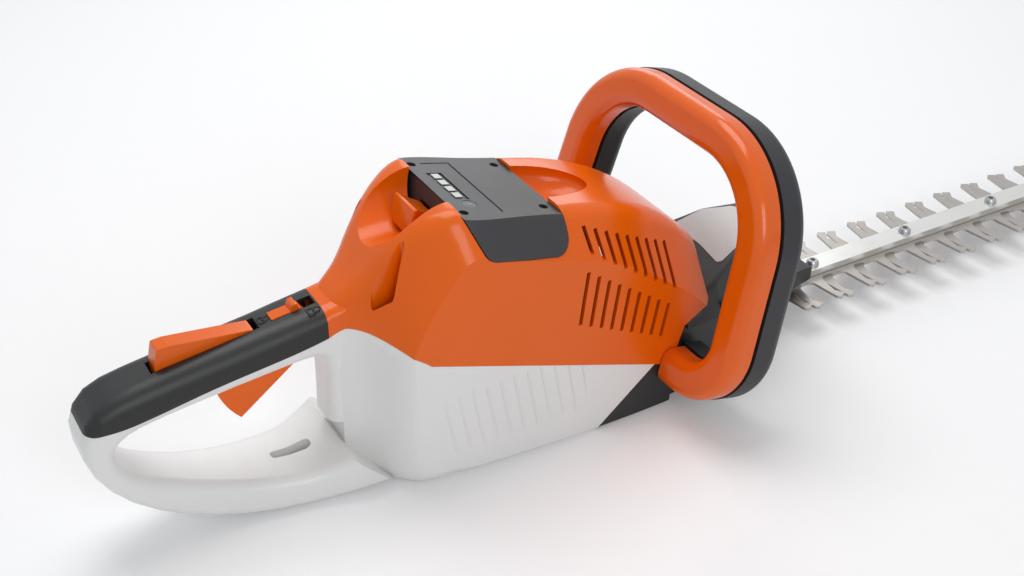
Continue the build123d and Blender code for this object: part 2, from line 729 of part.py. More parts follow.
def gear_housing():
    """Cast housing that carries the gear train, the blades and the front handle."""
    casting = gearbox_form()
    casting -= block(30, 84, -46, 46, well_floor, 60)
    casting -= [upright(crank_x, 0, well_floor, 60, gear_outer_r + 2.0), upright(motor_x, 0, 30, 60, 13.5)]
    casting -= block(plate_x[0] - 3.2, 205, -slot_half, slot_half, *blade_room)
    casting -= block(204, beak_x + 5, -beak_slot_half, beak_slot_half, *blade_room)
    casting -= upright(crank_x, 0, well_floor - 2.4, well_floor + 1, bush_r + 0.05)
    holes = []
    for x, y in deck_screws_at:
        for side in (-1, 1):
            holes.append(upright(x, side * y, 36, 60, screw_d / 2 + 0.02))
    x, z = foot_bolt_place()
    holes.append(mirrored(across(x, z, 37, 60, foot_bolt_r + 0.02)))
    for x in rail_screw_x:
        holes.append(upright(x, 0, 20, 60, 2.2))
        holes.append(upright(x, 0, 36, 60, 4.4))
    return casting - holes


def gear_cover():
    """Plate over the gear train: motor seat, bearing seat and screw holes."""
    half = rounded_outline([(88.5, 44, 5), (112, 43.4, 20), (160, 40, 20), (178, 31, 6),
                            (178, -31, 6), (160, -40, 20), (112, -43.4, 20), (88.5, -44, 5)])
    plate = plan_slab(half, deck_z + 0.05, deck_z + deck_thickness)
    plate += upright(crank_x, 0, 44.2, deck_z + 1, bearing_r + 3)
    plate -= upright(crank_x, 0, 40, 51.05, bearing_r + 0.03)
    plate -= upright(crank_x, 0, 40, deck_z + 1.5, crank_shaft_d / 2 + 1.0)
    plate -= upright(motor_x, 0, 40, 70, motor_bearing_r + 0.05)
    for x, y in deck_screws_at:
        for side in (-1, 1):
            plate -= upright(x, side * y, 40, 70, screw_d / 2 + 0.2)
    return plate


def deck_screws():
    screws = []
    for x, y in deck_screws_at:
        for side in (-1, 1):
            screws.append(pan_screw(x, side * y, deck_z + deck_thickness + 0.02, 18, 1))
    return Part() + screws


# ---------------------------------------------------------------- hand guard over the gears
hood_slope = 0.37
hood_stations = [(109, 49, 44, 50.5, 4), (140, 49, 39.5, 53, 6), (158, 45.5, 31, 59, 5), (175, 28, 26, 72, 4),
                 (193, 10.5, 10, 89, 2)]


def hood_top(x):
    return 67.0 + hood_slope * (x - 120)


def hood_form(inset):
    """Wedge-shaped hood; its top is one sloping plane."""
    sections = []
    for x, half_low, half_top, low, rounding in hood_stations:
        flare = 3 * inset * (half_low - half_top) / (hood_top(x) - low)
        low = low - 3 * inset
        sections.append(Plane.YZ.offset(x - inset) * rounded_outline([
            (half_low - inset + flare, low, 0), (half_top - inset, hood_top(x) - inset, rounding - inset * 0.3),
            (inset - half_top, hood_top(x) - inset, rounding - inset * 0.3), (inset - half_low - flare, low, 0)]))
    return loft(sections, ruled=True)


def hand_guard():
    """Black hood that hides the gear train and shields the hand."""
    hood = hood_form(0) - hood_form(2.5)
    hood -= upright(motor_x, 0, 40, 110, motor_d / 2 + 1.2)
    hood -= block(100, 112.5, -60, 60, 40, 60)
    hood -= block(100, 118, -46.6, 46.6, 40, 52.4)
    return hood + [mirrored(block(118, 124, 43.9, 47.2, 56.2, 62)), mirrored(block(140, 146, 39, 47, 56.2, 62))]


def rating_label():
    """Bare plate on the slope of the hand guard."""
    run = (1 + hood_slope ** 2) ** 0.5
    slope = Plane(origin=(120, 0, hood_top(120)), x_dir=(1, 0, hood_slope), z_dir=(-hood_slope, 0, 1))
    corners = [(150, 28.5, 3), (174, 23.5, 5), (189.5, 8.5, 6), (189.5, -8.5, 6), (174, -23.5, 5), (150, -28.5, 3),
               (153.5, 0, 40)]
    plan = rounded_outline([((x - 120) * run, y, r) for x, y, r in corners])
    return slope * extrude(plan, amount=0.4)


# ---------------------------------------------------------------- motor
motor_seat = deck_z + deck_thickness + 0.05
motor_wall = 1.8
motor_bearing_r = 8.0
motor_shaft_r = 2.5
rotor_r = 15.0


def motor_can():
    can = upright(motor_x, 0, motor_seat, motor_seat + motor_length, motor_d / 2)
    can -= upright(motor_x, 0, motor_seat + 2, motor_seat + motor_length + 1, motor_d / 2 - motor_wall)
    can -= upright(motor_x, 0, 50, 70, motor_bearing_r + 0.05)
    for i in range(6):
        can -= Pos(motor_x, 0, motor_seat + 6) * Rot(0, 0, 30 + i * 60) * Pos(motor_d / 2, 0, 0) * Box(6, 7, 4)
    return can


def motor_end_bell():
    base = motor_seat + motor_length + 0.05
    bell = upright(motor_x, 0, base, base + 3.6, motor_d / 2) - upright(motor_x, 0, base - 1, base + 2.6, 6.05)
    for y in (-11, 11):
        bell += Pos(motor_x - 8, y, base + 4.6) * Box(6, 0.8, 3)
    return bell


def magnet_ring():
    low = motor_seat + 10
    ring = upright(motor_x, 0, low, low + 28, motor_d / 2 - motor_wall - 0.05)
    ring -= upright(motor_x, 0, low - 1, low + 29, rotor_r + 0.7)
    return ring - [block(motor_x - 30, motor_x + 30, -1, 1, low - 1, low + 29)]


def rotor_stack():
    """Laminations with wound slots, and the commutator."""
    low = motor_seat + 10
    stack = upright(motor_x, 0, low, low + 25, rotor_r)
    for i in range(5):
        slot = Pos(motor_x, 0, low + 12) * Rot(0, 0, i * 72) * Pos(rotor_r, 0, 0) * Box(7, 2.6, 30)
        stack -= slot
    stack += upright(motor_x, 0, low + 24.5, low + 29.5, 6)
    return stack - upright(motor_x, 0, low - 1, low + 32, motor_shaft_r + 0.02)


def cooling_fan():
    low = motor_seat + 3.2
    hub = upright(motor_x, 0, low, low + 1.2, 14.5) + upright(motor_x, 0, low, low + 5.5, 5)
    blades = []
    for i in range(7):
        blades.append(Pos(motor_x, 0, low + 3) * Rot(0, 0, i * 360 / 7) * Pos(9, 0, 0) * Box(10.5, 1.0, 5))
    return hub + blades - upright(motor_x, 0, low - 1, low + 8, motor_shaft_r + 0.02)


def motor_shaft():
    return upright(motor_x, 0, gear_z - 1.5, motor_seat + motor_length + 2.4, motor_shaft_r)


def motor_bearings():
    front = upright(motor_x, 0, deck_z + 0.6, motor_seat + 2, motor_bearing_r)
    rear = upright(motor_x, 0, motor_seat + motor_length + 0.1, motor_seat + motor_length + 2.5, 6)
    return Part() + [front, rear] - upright(motor_x, 0, 40, 120, motor_shaft_r + 0.05)


# ---------------------------------------------------------------- gear train
bearing_r = 13.0
bush_r = 7.0
throw = stroke / 2
pin_r = 6.0
upper_pin = (crank_x - blade_offset, (throw ** 2 - blade_offset ** 2) ** 0.5)
lower_pin = (crank_x + blade_offset, -upper_pin[1])


def gear_outline(teeth, phase):
    """Straight-sided teeth, thinner than full so that the wheels never bind."""
    pitch = pi * gear_module
    pitch_r = gear_module * teeth / 2
    profile = [(pitch_r - 1.1 * gear_module, 0.27), (pitch_r, 0.20), (pitch_r + 0.8 * gear_module, 0.11)]
    points = []
    for i in range(teeth):
        middle = radians(phase) + i * 2 * pi / teeth
        flank = [(r, -part * pitch / r) for r, part in profile] + [(r, part * pitch / r) for r, part in reversed(profile)]
        points += [(r * cos(middle + turn), r * sin(middle + turn)) for r, turn in flank]
    return make_face(Polyline(*points, close=True))


def drive_gear():
    wheel = Pos(crank_x, 0, 0) * plan_slab(gear_outline(gear_teeth, 0), gear_z, gear_z + gear_face)
    wheel -= upright(crank_x, 0, gear_z + gear_face - 2, 60, 24) - upright(crank_x, 0, 0, 60, 10)
    return wheel - upright(crank_x, 0, 0, 60, crank_shaft_d / 2 + 0.02)


def pinion():
    wheel = Pos(motor_x, 0, 0) * plan_slab(gear_outline(pinion_teeth, 180 / pinion_teeth), gear_z - 0.5, gear_z + 8)
    return wheel - upright(motor_x, 0, 0, 60, motor_shaft_r + 0.02)


def crank_shaft():
    """Shaft with two opposed crank pins, one for each blade."""
    shaft = upright(crank_x, 0, 3.2, 50, crank_shaft_d / 2)
    shaft += upright(*upper_pin, 26.6, gear_z - 0.05, pin_r)
    shaft += upright(crank_x, 0, 5.7, 8.6, 14) + upright(*lower_pin, 8.5, 13.5, pin_r)
    return shaft


def crank_bearings():
    top = upright(crank_x, 0, 44, 51, bearing_r) - upright(crank_x, 0, 40, 52, crank_shaft_d / 2 + 0.05)
    groove = upright(crank_x, 0, 50.4, 52, bearing_r - 2.5) - upright(crank_x, 0, 50, 53, crank_shaft_d / 2 + 3)
    bush = upright(crank_x, 0, well_floor - 2.3, well_floor + 0.3, bush_r)
    return Part() + [top - groove, bush - upright(crank_x, 0, 0, 8, crank_shaft_d / 2 + 0.05)]


# ---------------------------------------------------------------- blades
tooth_profile = [(-9, -10.0), (-4, -15), (-2.6, -25), (-0.8, -36.5), (1.5, -38.5), (6.8, -35.5), (2.6, -29), (3.4, -22),
                 (4.6, -14), (8, -10.0)]
far_stagger = 13.0
plate_x = (112.0, 185.0)
plate_half = 22.0
bolt_slot_half = 4.3
blade_end = first_tooth_x + (tooth_count - 1) * tooth_pitch + 27


def blade_outline(shift):
    """Toothed outline; shift moves the teeth, not the plate that the crank drives."""
    near = []
    for i in range(tooth_count):
        neck = first_tooth_x + shift + i * tooth_pitch
        near += [(neck + x, y * root_reach / 10 if y > -11 else y * tooth_reach / 38.5) for x, y in tooth_profile]
    far = []
    for i in reversed(range(tooth_count)):
        neck = first_tooth_x + shift + far_stagger + i * tooth_pitch
        far += [(neck + x, -y * root_reach / 10 if y > -11 else -y * tooth_reach / 38.5)
                for x, y in reversed(tooth_profile)]
    end = blade_end + shift
    start = [(plate_x[1] + shift, root_reach), (plate_x[1] + shift - 14, plate_half), (plate_x[0] + shift, plate_half),
             (plate_x[0] + shift, -plate_half), (plate_x[1] + shift - 14, -plate_half), (plate_x[1] + shift, -root_reach)]
    nose = [(end - 4, -root_reach), (end, -root_reach + 4), (end, root_reach - 4), (end - 4, root_reach)]
    return make_face(Polyline(*start, *near, *nose, *far, close=True))


def yoke_window(centre, z_from, z_to):
    """Cross slot for the crank pin, with room for the shaft along the stroke."""
    across_slot = block(centre - pin_r - 0.3, centre + pin_r + 0.3, -14, 14, z_from, z_to)
    along = block(centre - 13, centre + 13, -5, 5, z_from, z_to)
    return across_slot + along


def blade(rest, z_from, yoke_from, yoke_to):
    """One blade with its yoke; rest is how far it stands ahead of the middle of its stroke."""
    low = min(z_from, yoke_from)
    high = max(z_from + blade_thickness, yoke_to)
    centre = crank_x + rest
    plate = plan_slab(blade_outline(rest + blade_offset), z_from, z_from + blade_thickness)
    plate += block(centre - 21, centre + 21, -18, 18, yoke_from, yoke_to)
    plate -= yoke_window(centre, low - 1, high + 1)
    for i in range(bolt_count):
        middle = first_bolt_x + i * bolt_pitch + rest
        reach = throw
        slot = block(middle - reach, middle + reach, -bolt_slot_half, bolt_slot_half, low - 1, high + 1)
        plate -= [slot, upright(middle - reach, 0, low - 1, high + 1, bolt_slot_half),
                  upright(middle + reach, 0, low - 1, high + 1, bolt_slot_half)]
    return plate


def upper_blade():
    low = blade_plane + blade_gap / 2
    return blade(-blade_offset, low, low + 1, 26.1)


def lower_blade():
    low = blade_plane - blade_gap / 2 - blade_thickness
    return blade(blade_offset, low, 14.0, low + 1)


# ---------------------------------------------------------------- guide bar and its bolts
rail_z = 22.3
rail_from = 190.0
sleeve_r = 4.0


def bolt_places():
    return [first_bolt_x + i * bolt_pitch for i in range(bolt_count)]


def guide_bar():
    half = rail_width / 2
    face = rounded_outline([(rail_from, half, 1), (tip_x, half, half - 0.1), (tip_x, -half, half - 0.1), (rail_from, -half, 1)])
    bar = plan_slab(face, rail_z, rail_z + rail_height)
    for x in bolt_places():
        bar -= upright(x, 0, 20, 30, bolt_d / 2 + 0.05)
    for x in rail_screw_x:
        bar -= upright(x, 0, 20, 30, 2.05)
    return bar


def rail_bolts():
    """Domed socket screws that hold the blades under the guide bar."""
    top = rail_z + rail_height + 0.02
    bolts = []
    for x in bolt_places():
        dome = Pos(x, 0, top) * Sphere(4.8)
        head = (dome & upright(x, 0, top, top + 3.4, 6)) - upright(x, 0, top + 1.5, top + 6, 1.9)
        bolts.append(head + upright(x, 0, 12.2, top + 0.5, bolt_d / 2))
    return Part() + bolts


def bolt_sleeves():
    return Part() + [upright(x, 0, 17.62, rail_z - 0.02, sleeve_r) - upright(x, 0, 10, 30, bolt_d / 2 + 0.05)
                     for x in bolt_places()]


def bolt_nuts():
    """Washers and hexagon nuts under the blades."""
    nuts = []
    for x in bolt_places():
        nut = Pos(x, 0, 12.0) * extrude(RegularPolygon(4.6, 6), amount=3.6)
        washer = upright(x, 0, 15.5, 17.6, 6.2)
        nuts.append(nut + washer - upright(x, 0, 5, 25, bolt_d / 2 + 0.05))
    return Part() + nuts


def rail_screws():
    screws = []
    for x in rail_screw_x:
        head = upright(x, 0, 36.05, 39.6, 4.0) - Pos(x, 0, 37.6) * extrude(RegularPolygon(1.9, 6), amount=3)
        screws.append(head + upright(x, 0, rail_z + 0.2, 36.1, 2.0))
    return Part() + screws


# ---------------------------------------------------------------- front handle
loop_rear_face = -(loop_rear_depth + loop_slot + loop_front_depth) / 2
loop_rear_end = 55.2          # distance from the middle where the handle meets the housing
bar_end = 51.0                # distance from the middle where the switch bar ends
guide_places = [(-98.5, 60.0), (98.5, 60.0)]


def loop_path(end):
    """Centreline of the handle, from one end of its bottom bar round to the other."""
    corners = [(-end, 0, 0), (-loop_half_bottom, 0, loop_round_bottom), (-loop_half_top, loop_height, loop_round_top),
               (loop_half_top, loop_height, loop_round_top), (loop_half_bottom, 0, loop_round_bottom), (end, 0, 0)]
    edges = []
    last = Vector(*corners[0][:2])
    for i in range(1, len(corners) - 1):
        here = Vector(*corners[i][:2])
        back = (Vector(*corners[i - 1][:2]) - here).normalized()
        on = (Vector(*corners[i + 1][:2]) - here).normalized()
        half = radians(back.get_angle(on)) / 2
        radius = corners[i][2]
        centre = here + (back + on).normalized() * (radius / sin(half))
        enter = here + back * (radius / tan(half))
        leave = here + on * (radius / tan(half))
        edges += [Line(last, enter), ThreePointArc(enter, centre + (here - centre).normalized() * radius, leave)]
        last = leave
    edges.append(Line(last, Vector(*corners[-1][:2])))
    return Wire([lean_plane.from_local_coords(edge) for edge in edges])


def foot_bolt_place():
    """X and Z of the bolts through the handle's feet, in the middle of its channel."""
    place = lean_plane.from_local_coords(Vector(0, 0, loop_rear_face + loop_rear_depth / 2))
    return place.X, place.Z


def loop_sweep(end, corners):
    """Sweep a section (depth forward, distance across the tube) round the handle."""
    path = loop_path(end)
    start = Plane(origin=path @ 0, x_dir=lean_plane.z_dir, z_dir=path % 0)
    return sweep(start * rounded_outline(corners), path=path)


def front_handle():
    """Rear half of the front handle, an open channel closed at both feet."""
    low = loop_rear_face
    high = loop_rear_face + loop_rear_depth
    half = loop_thickness / 2
    handle = loop_sweep(loop_rear_end, [(low, half, 8), (high, half, 0), (high, -half, 0), (low, -half, 8)])
    handle -= loop_sweep(loop_rear_end + 4, [(low + loop_wall, half - loop_wall, 5), (high + 1, half - loop_wall, 0),
                                             (high + 1, loop_wall - half, 0), (low + loop_wall, loop_wall - half, 5)])
    for y, v in guide_places:
        handle += lean_plane * Pos(y, v, (low + high) / 2 + 1) * Cylinder(4.2, high - low - 3)
        handle -= lean_plane * Pos(y, v, high) * Cylinder(guide_r + 0.02, 16)
    x, z = foot_bolt_place()
    return handle - across(x, z, -64, 64, foot_bolt_r + 0.1)


def switch_bar():
    """Front half of the front handle, the bar that the fingers press."""
    low = loop_rear_face + loop_rear_depth + loop_slot
    high = low + loop_front_depth
    half = loop_thickness / 2 + 0.6
    outside = loop_sweep(bar_end, [(low, half, 0), (high, half, 9), (high, -half, 9), (low, -half, 0)])
    inside = loop_sweep(bar_end + 3, [(low - 1, half - loop_wall, 0), (high - loop_wall, half - loop_wall, 6),
                                      (high - loop_wall, loop_wall - half, 6), (low - 1, loop_wall - half, 0)])
    return outside - inside


guide_r = 2.0


def bar_guides():
    """Pins pressed into the handle that carry the switch bar."""
    face = loop_rear_face + loop_rear_depth
    return Part() + [lean_plane * Pos(y, v, face + 2.4) * Cylinder(guide_r, 20) for y, v in guide_places]


def bar_springs():
    face = loop_rear_face + loop_rear_depth
    springs = []
    for y, v in guide_places:
        start = lean_plane.from_local_coords(Vector(y, v, face - 0.4))
        end = lean_plane.from_local_coords(Vector(y, v, face + loop_slot + loop_front_depth - loop_wall - 0.1))
        springs.append(spring(tuple(start), tuple(end), 3.2, 0.9, 5))
    return Part() + springs


def bar_switch():
    """Snap switch in the top of the handle, pressed by the bar."""
    low = loop_rear_face + loop_wall
    return lean_plane * (block(-10, 10, loop_height - 5, loop_height + 5, low + 0.05, low + 10)
                         + block(-2, 2, loop_height - 3, loop_height + 3, low + 9, low + 11))


def foot_bolt_set():
    """Bolts that hold the front handle's feet on the gear housing."""
    x, z = foot_bolt_place()
    seat = loop_rear_end + 4.05
    return mirrored(across(x, z, 38, seat + 0.1, foot_bolt_r) + across(x, z, seat, seat + 3, foot_bolt_r + 1.6))


def trigger_spring():
    """Return spring of the trigger, under the grip cover."""
    return spring((-158, 0, 105.8), (-158, 0, 118.6), 1.9, 0.8, 4)


def lockout_spring():
    """Return spring under the rear of the lockout lever."""
    return spring((-219, 0, 91.6), (-219, 0, 107.2), 2.2, 0.8, 4)


# ---------------------------------------------------------------- write
os.makedirs("parts", exist_ok=True)
nodes = {
    "upper_housing": upper_housing, "lower_housing": lower_housing, "grip_cover": grip_cover,
    "gear_housing": gear_housing, "gear_cover": gear_cover, "hand_guard": hand_guard, "rating_label": rating_label,
    "battery_cap": battery_cap, "battery_case": battery_case, "battery_cap_screws": battery_cap_screws,
    "led_bars": led_bars, "charge_gauge_button": charge_gauge_button, "battery_bay": battery_bay,
    "contact_block": contact_block, "eject_springs": eject_springs, "lock_lever": lock_lever, "lock_pin": lock_pin,
    "lockout_lever": lockout_lever, "slide_latch": slide_latch, "trigger": trigger, "pivot_pins": pivot_pins,
    "control_switch": control_switch, "control_board": control_board, "trigger_spring": trigger_spring,
    "lockout_spring": lockout_spring,
    "housing_screws": housing_screws, "deck_screws": deck_screws,
    "motor_can": motor_can, "motor_end_bell": motor_end_bell, "magnet_ring": magnet_ring, "rotor_stack": rotor_stack,
    "cooling_fan": cooling_fan, "motor_shaft": motor_shaft, "motor_bearings": motor_bearings, "pinion": pinion,
    "drive_gear": drive_gear, "crank_shaft": crank_shaft, "crank_bearings": crank_bearings,
    "upper_blade": upper_blade, "lower_blade": lower_blade, "guide_bar": guide_bar, "rail_bolts": rail_bolts,
    "bolt_sleeves": bolt_sleeves, "bolt_nuts": bolt_nuts, "rail_screws": rail_screws,
    "front_handle": front_handle, "switch_bar": switch_bar, "bar_guides": bar_guides, "bar_springs": bar_springs,
    "bar_switch": bar_switch, "foot_bolts": foot_bolt_set,
}
for name, build in nodes.items():
    export_step(build(), "parts/" + name + ".step")
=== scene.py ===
from math import cos, pi, radians, sin

import bmesh
import bpy
from mathutils import Matrix, Vector


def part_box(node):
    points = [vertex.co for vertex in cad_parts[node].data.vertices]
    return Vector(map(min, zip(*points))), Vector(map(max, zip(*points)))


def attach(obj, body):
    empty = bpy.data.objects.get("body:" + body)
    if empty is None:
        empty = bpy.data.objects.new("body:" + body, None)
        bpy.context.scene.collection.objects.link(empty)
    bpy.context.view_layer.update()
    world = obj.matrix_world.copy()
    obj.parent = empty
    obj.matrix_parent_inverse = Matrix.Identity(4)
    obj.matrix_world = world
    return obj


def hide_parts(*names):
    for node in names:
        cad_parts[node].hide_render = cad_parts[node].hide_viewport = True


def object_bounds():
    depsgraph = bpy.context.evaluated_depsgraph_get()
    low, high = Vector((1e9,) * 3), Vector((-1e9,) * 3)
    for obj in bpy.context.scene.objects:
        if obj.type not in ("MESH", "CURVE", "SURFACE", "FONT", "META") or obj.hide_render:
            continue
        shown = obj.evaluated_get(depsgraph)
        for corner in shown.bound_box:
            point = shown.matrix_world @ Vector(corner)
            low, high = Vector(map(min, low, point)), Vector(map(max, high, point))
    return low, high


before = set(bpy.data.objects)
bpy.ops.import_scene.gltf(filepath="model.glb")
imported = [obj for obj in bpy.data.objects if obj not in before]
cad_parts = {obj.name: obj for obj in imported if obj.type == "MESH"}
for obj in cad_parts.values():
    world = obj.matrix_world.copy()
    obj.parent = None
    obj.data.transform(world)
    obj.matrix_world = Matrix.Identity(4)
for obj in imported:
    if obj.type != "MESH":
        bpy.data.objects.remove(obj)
cad_box = [list(corner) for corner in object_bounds()]

# ---------------------------------------------------------------- white lower shell
# The belly of the casing and the D-shaped handle in one moulding of off-white ABS.
# Its tool is polished with a light spark-eroded grain, so it is satin with soft broad highlights.
# A row of shallow slanted flutes is moulded into each flank under the cooling slots.
FLOW_CLOUDS = 14.0             # in a metre, each about 70 mm across
CLOUD_SHADE = 0.93             # the colour's darker end, as a share of it
CLOUD_GLOSS = 0.05             # roughness either side of the middle
RELIEF_STRENGTH = 0.5
FLUTE_PITCH = 0.0095
FLUTE_LEAN = 0.18              # how far a flute leans back, as a share of its height
FLUTE_EDGE = 0.72              # where it begins on the wave that repeats it, which peaks at one
FLUTE_DEPTH = 0.00035
FLUTE_FADE = 0.004
FLUTE_X = (-0.072, 0.030)
FLUTE_Z = (0.022, 0.066)
WELD = 0.00001


def linear(hex_colour):
    """The linear values that shaders read, from an sRGB hex colour."""
    channels = [int(hex_colour[i:i + 2], 16) / 255 for i in (1, 3, 5)]
    return [*(c / 12.92 if c <= 0.04045 else ((c + 0.055) / 1.055) ** 2.4 for c in channels), 1.0]


def add(tree, kind, settings=None, values=None, links=None):
    """Adds one node with its settings, its sockets' values and the links into it."""
    made = tree.nodes.new(kind)
    for name, value in (settings or {}).items():
        setattr(made, name, value)
    for name, value in (values or {}).items():
        made.inputs[name].default_value = value
    for name, source in (links or {}).items():
        tree.links.new(source, made.inputs[name])
    return made


def new_finish(name, ior=None, metallic=0.0):
    """An empty finish: its material, node tree, shader and object coordinates."""
    material = bpy.data.materials.new(name)
    material.use_nodes = True
    tree = material.node_tree
    shader = tree.nodes["Principled BSDF"]
    shader.inputs["Metallic"].default_value = metallic
    if ior:
        shader.inputs["IOR"].default_value = ior
    return material, tree, shader, add(tree, "ShaderNodeTexCoord").outputs["Object"]


def moulded(name, colour, roughness, grain_mm, depth_mm, ior=1.52):
    """Injection-moulded plastic: even colour, faint flow clouds in tone and gloss, and a fine grain.

    The grain is drawn several times as coarse as it is, so that it shows.
    """
    material, tree, shader, place = new_finish(name, ior)
    cloud = add(tree, "ShaderNodeTexNoise", values={"Scale": FLOW_CLOUDS, "Detail": 2.0},
                links={"Vector": place})
    grain = add(tree, "ShaderNodeTexNoise", values={"Scale": 1000 / grain_mm, "Detail": 2.0},
                links={"Vector": place})
    full = linear(colour)
    shade = [c * CLOUD_SHADE for c in full[:3]] + [1.0]
    tone = add(tree, "ShaderNodeMix", {"data_type": "RGBA"}, {6: shade, 7: full}, {0: cloud.outputs["Fac"]})
    gloss = add(tree, "ShaderNodeMapRange", links={"Value": cloud.outputs["Fac"]},
                values={"To Min": roughness - CLOUD_GLOSS, "To Max": roughness + CLOUD_GLOSS})
    bump = add(tree, "ShaderNodeBump", values={"Strength": RELIEF_STRENGTH, "Distance": depth_mm / 1000},
               links={"Height": grain.outputs["Fac"]})
    tree.links.new(tone.outputs[2], shader.inputs["Base Color"])
    tree.links.new(gloss.outputs["Result"], shader.inputs["Roughness"])
    tree.links.new(bump.outputs["Normal"], shader.inputs["Normal"])
    return material


def dress(material, *nodes):
    """Gives CAD nodes their finish."""
    for node in nodes:
        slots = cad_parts[node].data.materials
        slots.clear()
        slots.append(material)


def smoothed(node, body, angle=24.0):
    """A copy of a dressed CAD shell, merged and shaded as one curved skin, which stands for the shell."""
    bpy.ops.object.select_all(action="DESELECT")
    skin = bpy.data.objects.new(node + "_skin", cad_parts[node].data.copy())
    bpy.context.scene.collection.objects.link(skin)
    skin.select_set(True)
    bpy.context.view_layer.objects.active = skin
    bpy.ops.object.mode_set(mode="EDIT")
    bpy.ops.mesh.select_all(action="SELECT")
    bpy.ops.mesh.remove_doubles(threshold=WELD)
    bpy.ops.mesh.customdata_custom_splitnormals_clear()
    bpy.ops.object.mode_set(mode="OBJECT")
    bpy.ops.object.shade_smooth_by_angle(angle=radians(angle))
    weigh = skin.modifiers.new("even_shading", "WEIGHTED_NORMAL")
    weigh.keep_sharp = True
    bpy.ops.object.modifier_apply(modifier=weigh.name)
    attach(skin, body)
    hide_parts(node)
    return skin


def fluted(material):
    """Cuts the row of flutes into a moulded finish, as relief over its grain."""
    tree = material.node_tree
    place = add(tree, "ShaderNodeTexCoord").outputs["Object"]
    split = add(tree, "ShaderNodeSeparateXYZ", links={"Vector": place})
    lean = add(tree, "ShaderNodeMath", {"operation": "MULTIPLY_ADD"}, {1: FLUTE_LEAN},
               {0: split.outputs["Z"], 2: split.outputs["X"]})
    turns = add(tree, "ShaderNodeMath", {"operation": "MULTIPLY"}, {1: 2 * pi / FLUTE_PITCH},
                {0: lean.outputs[0]})
    wave = add(tree, "ShaderNodeMath", {"operation": "COSINE"}, links={0: turns.outputs[0]})
    height = add(tree, "ShaderNodeMapRange", {"interpolation_type": "SMOOTHSTEP"},
                 {"From Min": FLUTE_EDGE, "From Max": 1.0}, {"Value": wave.outputs[0]}).outputs["Result"]
    for axis, (low, high) in (("X", FLUTE_X), ("Z", FLUTE_Z)):
        rise = add(tree, "ShaderNodeMapRange", {"interpolation_type": "SMOOTHSTEP"},
                   {"From Min": low, "From Max": low + FLUTE_FADE}, {"Value": split.outputs[axis]})
        fall = add(tree, "ShaderNodeMapRange", {"interpolation_type": "SMOOTHSTEP"},
                   {"From Min": high, "From Max": high + FLUTE_FADE, "To Min": 1.0, "To Max": 0.0},
                   {"Value": split.outputs[axis]})
        for mask in (rise, fall):
            height = add(tree, "ShaderNodeMath", {"operation": "MULTIPLY"},
                         links={0: height, 1: mask.outputs["Result"]}).outputs[0]
    normal = tree.nodes["Principled BSDF"].inputs["Normal"]
    flutes = add(tree, "ShaderNodeBump", {"invert": True}, {"Strength": 1.0, "Distance": FLUTE_DEPTH},
                 {"Height": height, "Normal": normal.links[0].from_socket})
    tree.links.new(flutes.outputs["Normal"], normal)


white_abs = moulded("white_moulded_abs", "#ECECEB", 0.3, 0.8, 0.012)
fluted(white_abs)
dress(white_abs, "lower_housing")
smoothed("lower_housing", "tool")

# ---------------------------------------------------------------- orange upper shell
# The top and flanks of the casing with its cooling slots, an orange ABS moulding screwed to the white one.
# A nearly polished tool gives it a gloss that shows long soft highlights along the shoulders.
orange_abs = moulded("orange_moulded_abs", "#EE6503", 0.22, 0.9, 0.010)
orange_abs.node_tree.nodes["Principled BSDF"].inputs["Specular IOR Level"].default_value = 0.32
dress(orange_abs, "upper_housing", "trigger", "lockout_lever", "slide_latch", "lock_lever")
smoothed("upper_housing", "tool")

# ---------------------------------------------------------------- battery lock
# The paddle that releases the battery: an orange ABS moulding on a steel pin between two ears in the scoop.
# Its thumb face leans with the battery, and its lower corners follow the round of the scoop.
PADDLE_HALF = 0.0125           # half width of the thumb plate
PADDLE_FOOT = -0.0022          # below the pin
PADDLE_TOP = 0.0130            # above the pin
PADDLE_CORNER = 0.0075
PADDLE_EDGE = 0.0006
PADDLE_SHARP = radians(35)     # a bend that gets an eased edge
PLATE_FOOT = 0.0046            # where the plate thickens, over the ears
BLOCK_HALF = 0.0100            # half width of the foot between the ears
BLOCK_FOOT = -0.0031
BLANK = 0.024                  # front to back before the cuts
# Each face is a point on it, measured from the pin, and the direction that it faces.
THUMB_FACE = ((-0.0078, 0, PADDLE_FOOT), (-0.955, 0, 0.296))
EAR_FACE = ((-0.0055, 0, 0.0), (1, 0, -0.04))
BATTERY_FACE = ((-0.0012, 0, PADDLE_TOP), (0.97, 0, -0.242))
OVER_EARS = ((-0.0040, 0, PLATE_FOOT), (0.66, 0, -0.75))
BLOCK_BACK = ((-0.0062, 0, 0.0), (-0.97, 0, 0.24))
BLOCK_SOLE = ((0.0079, 0, 0.0), (0.74, 0, -0.67))
BLOCK_NOSE = ((0.0095, 0, 0.0055), (0.55, 0, 0.835))
pin_low, pin_high = (Vector(corner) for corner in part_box("lock_pin"))
pin = (pin_low + pin_high) / 2


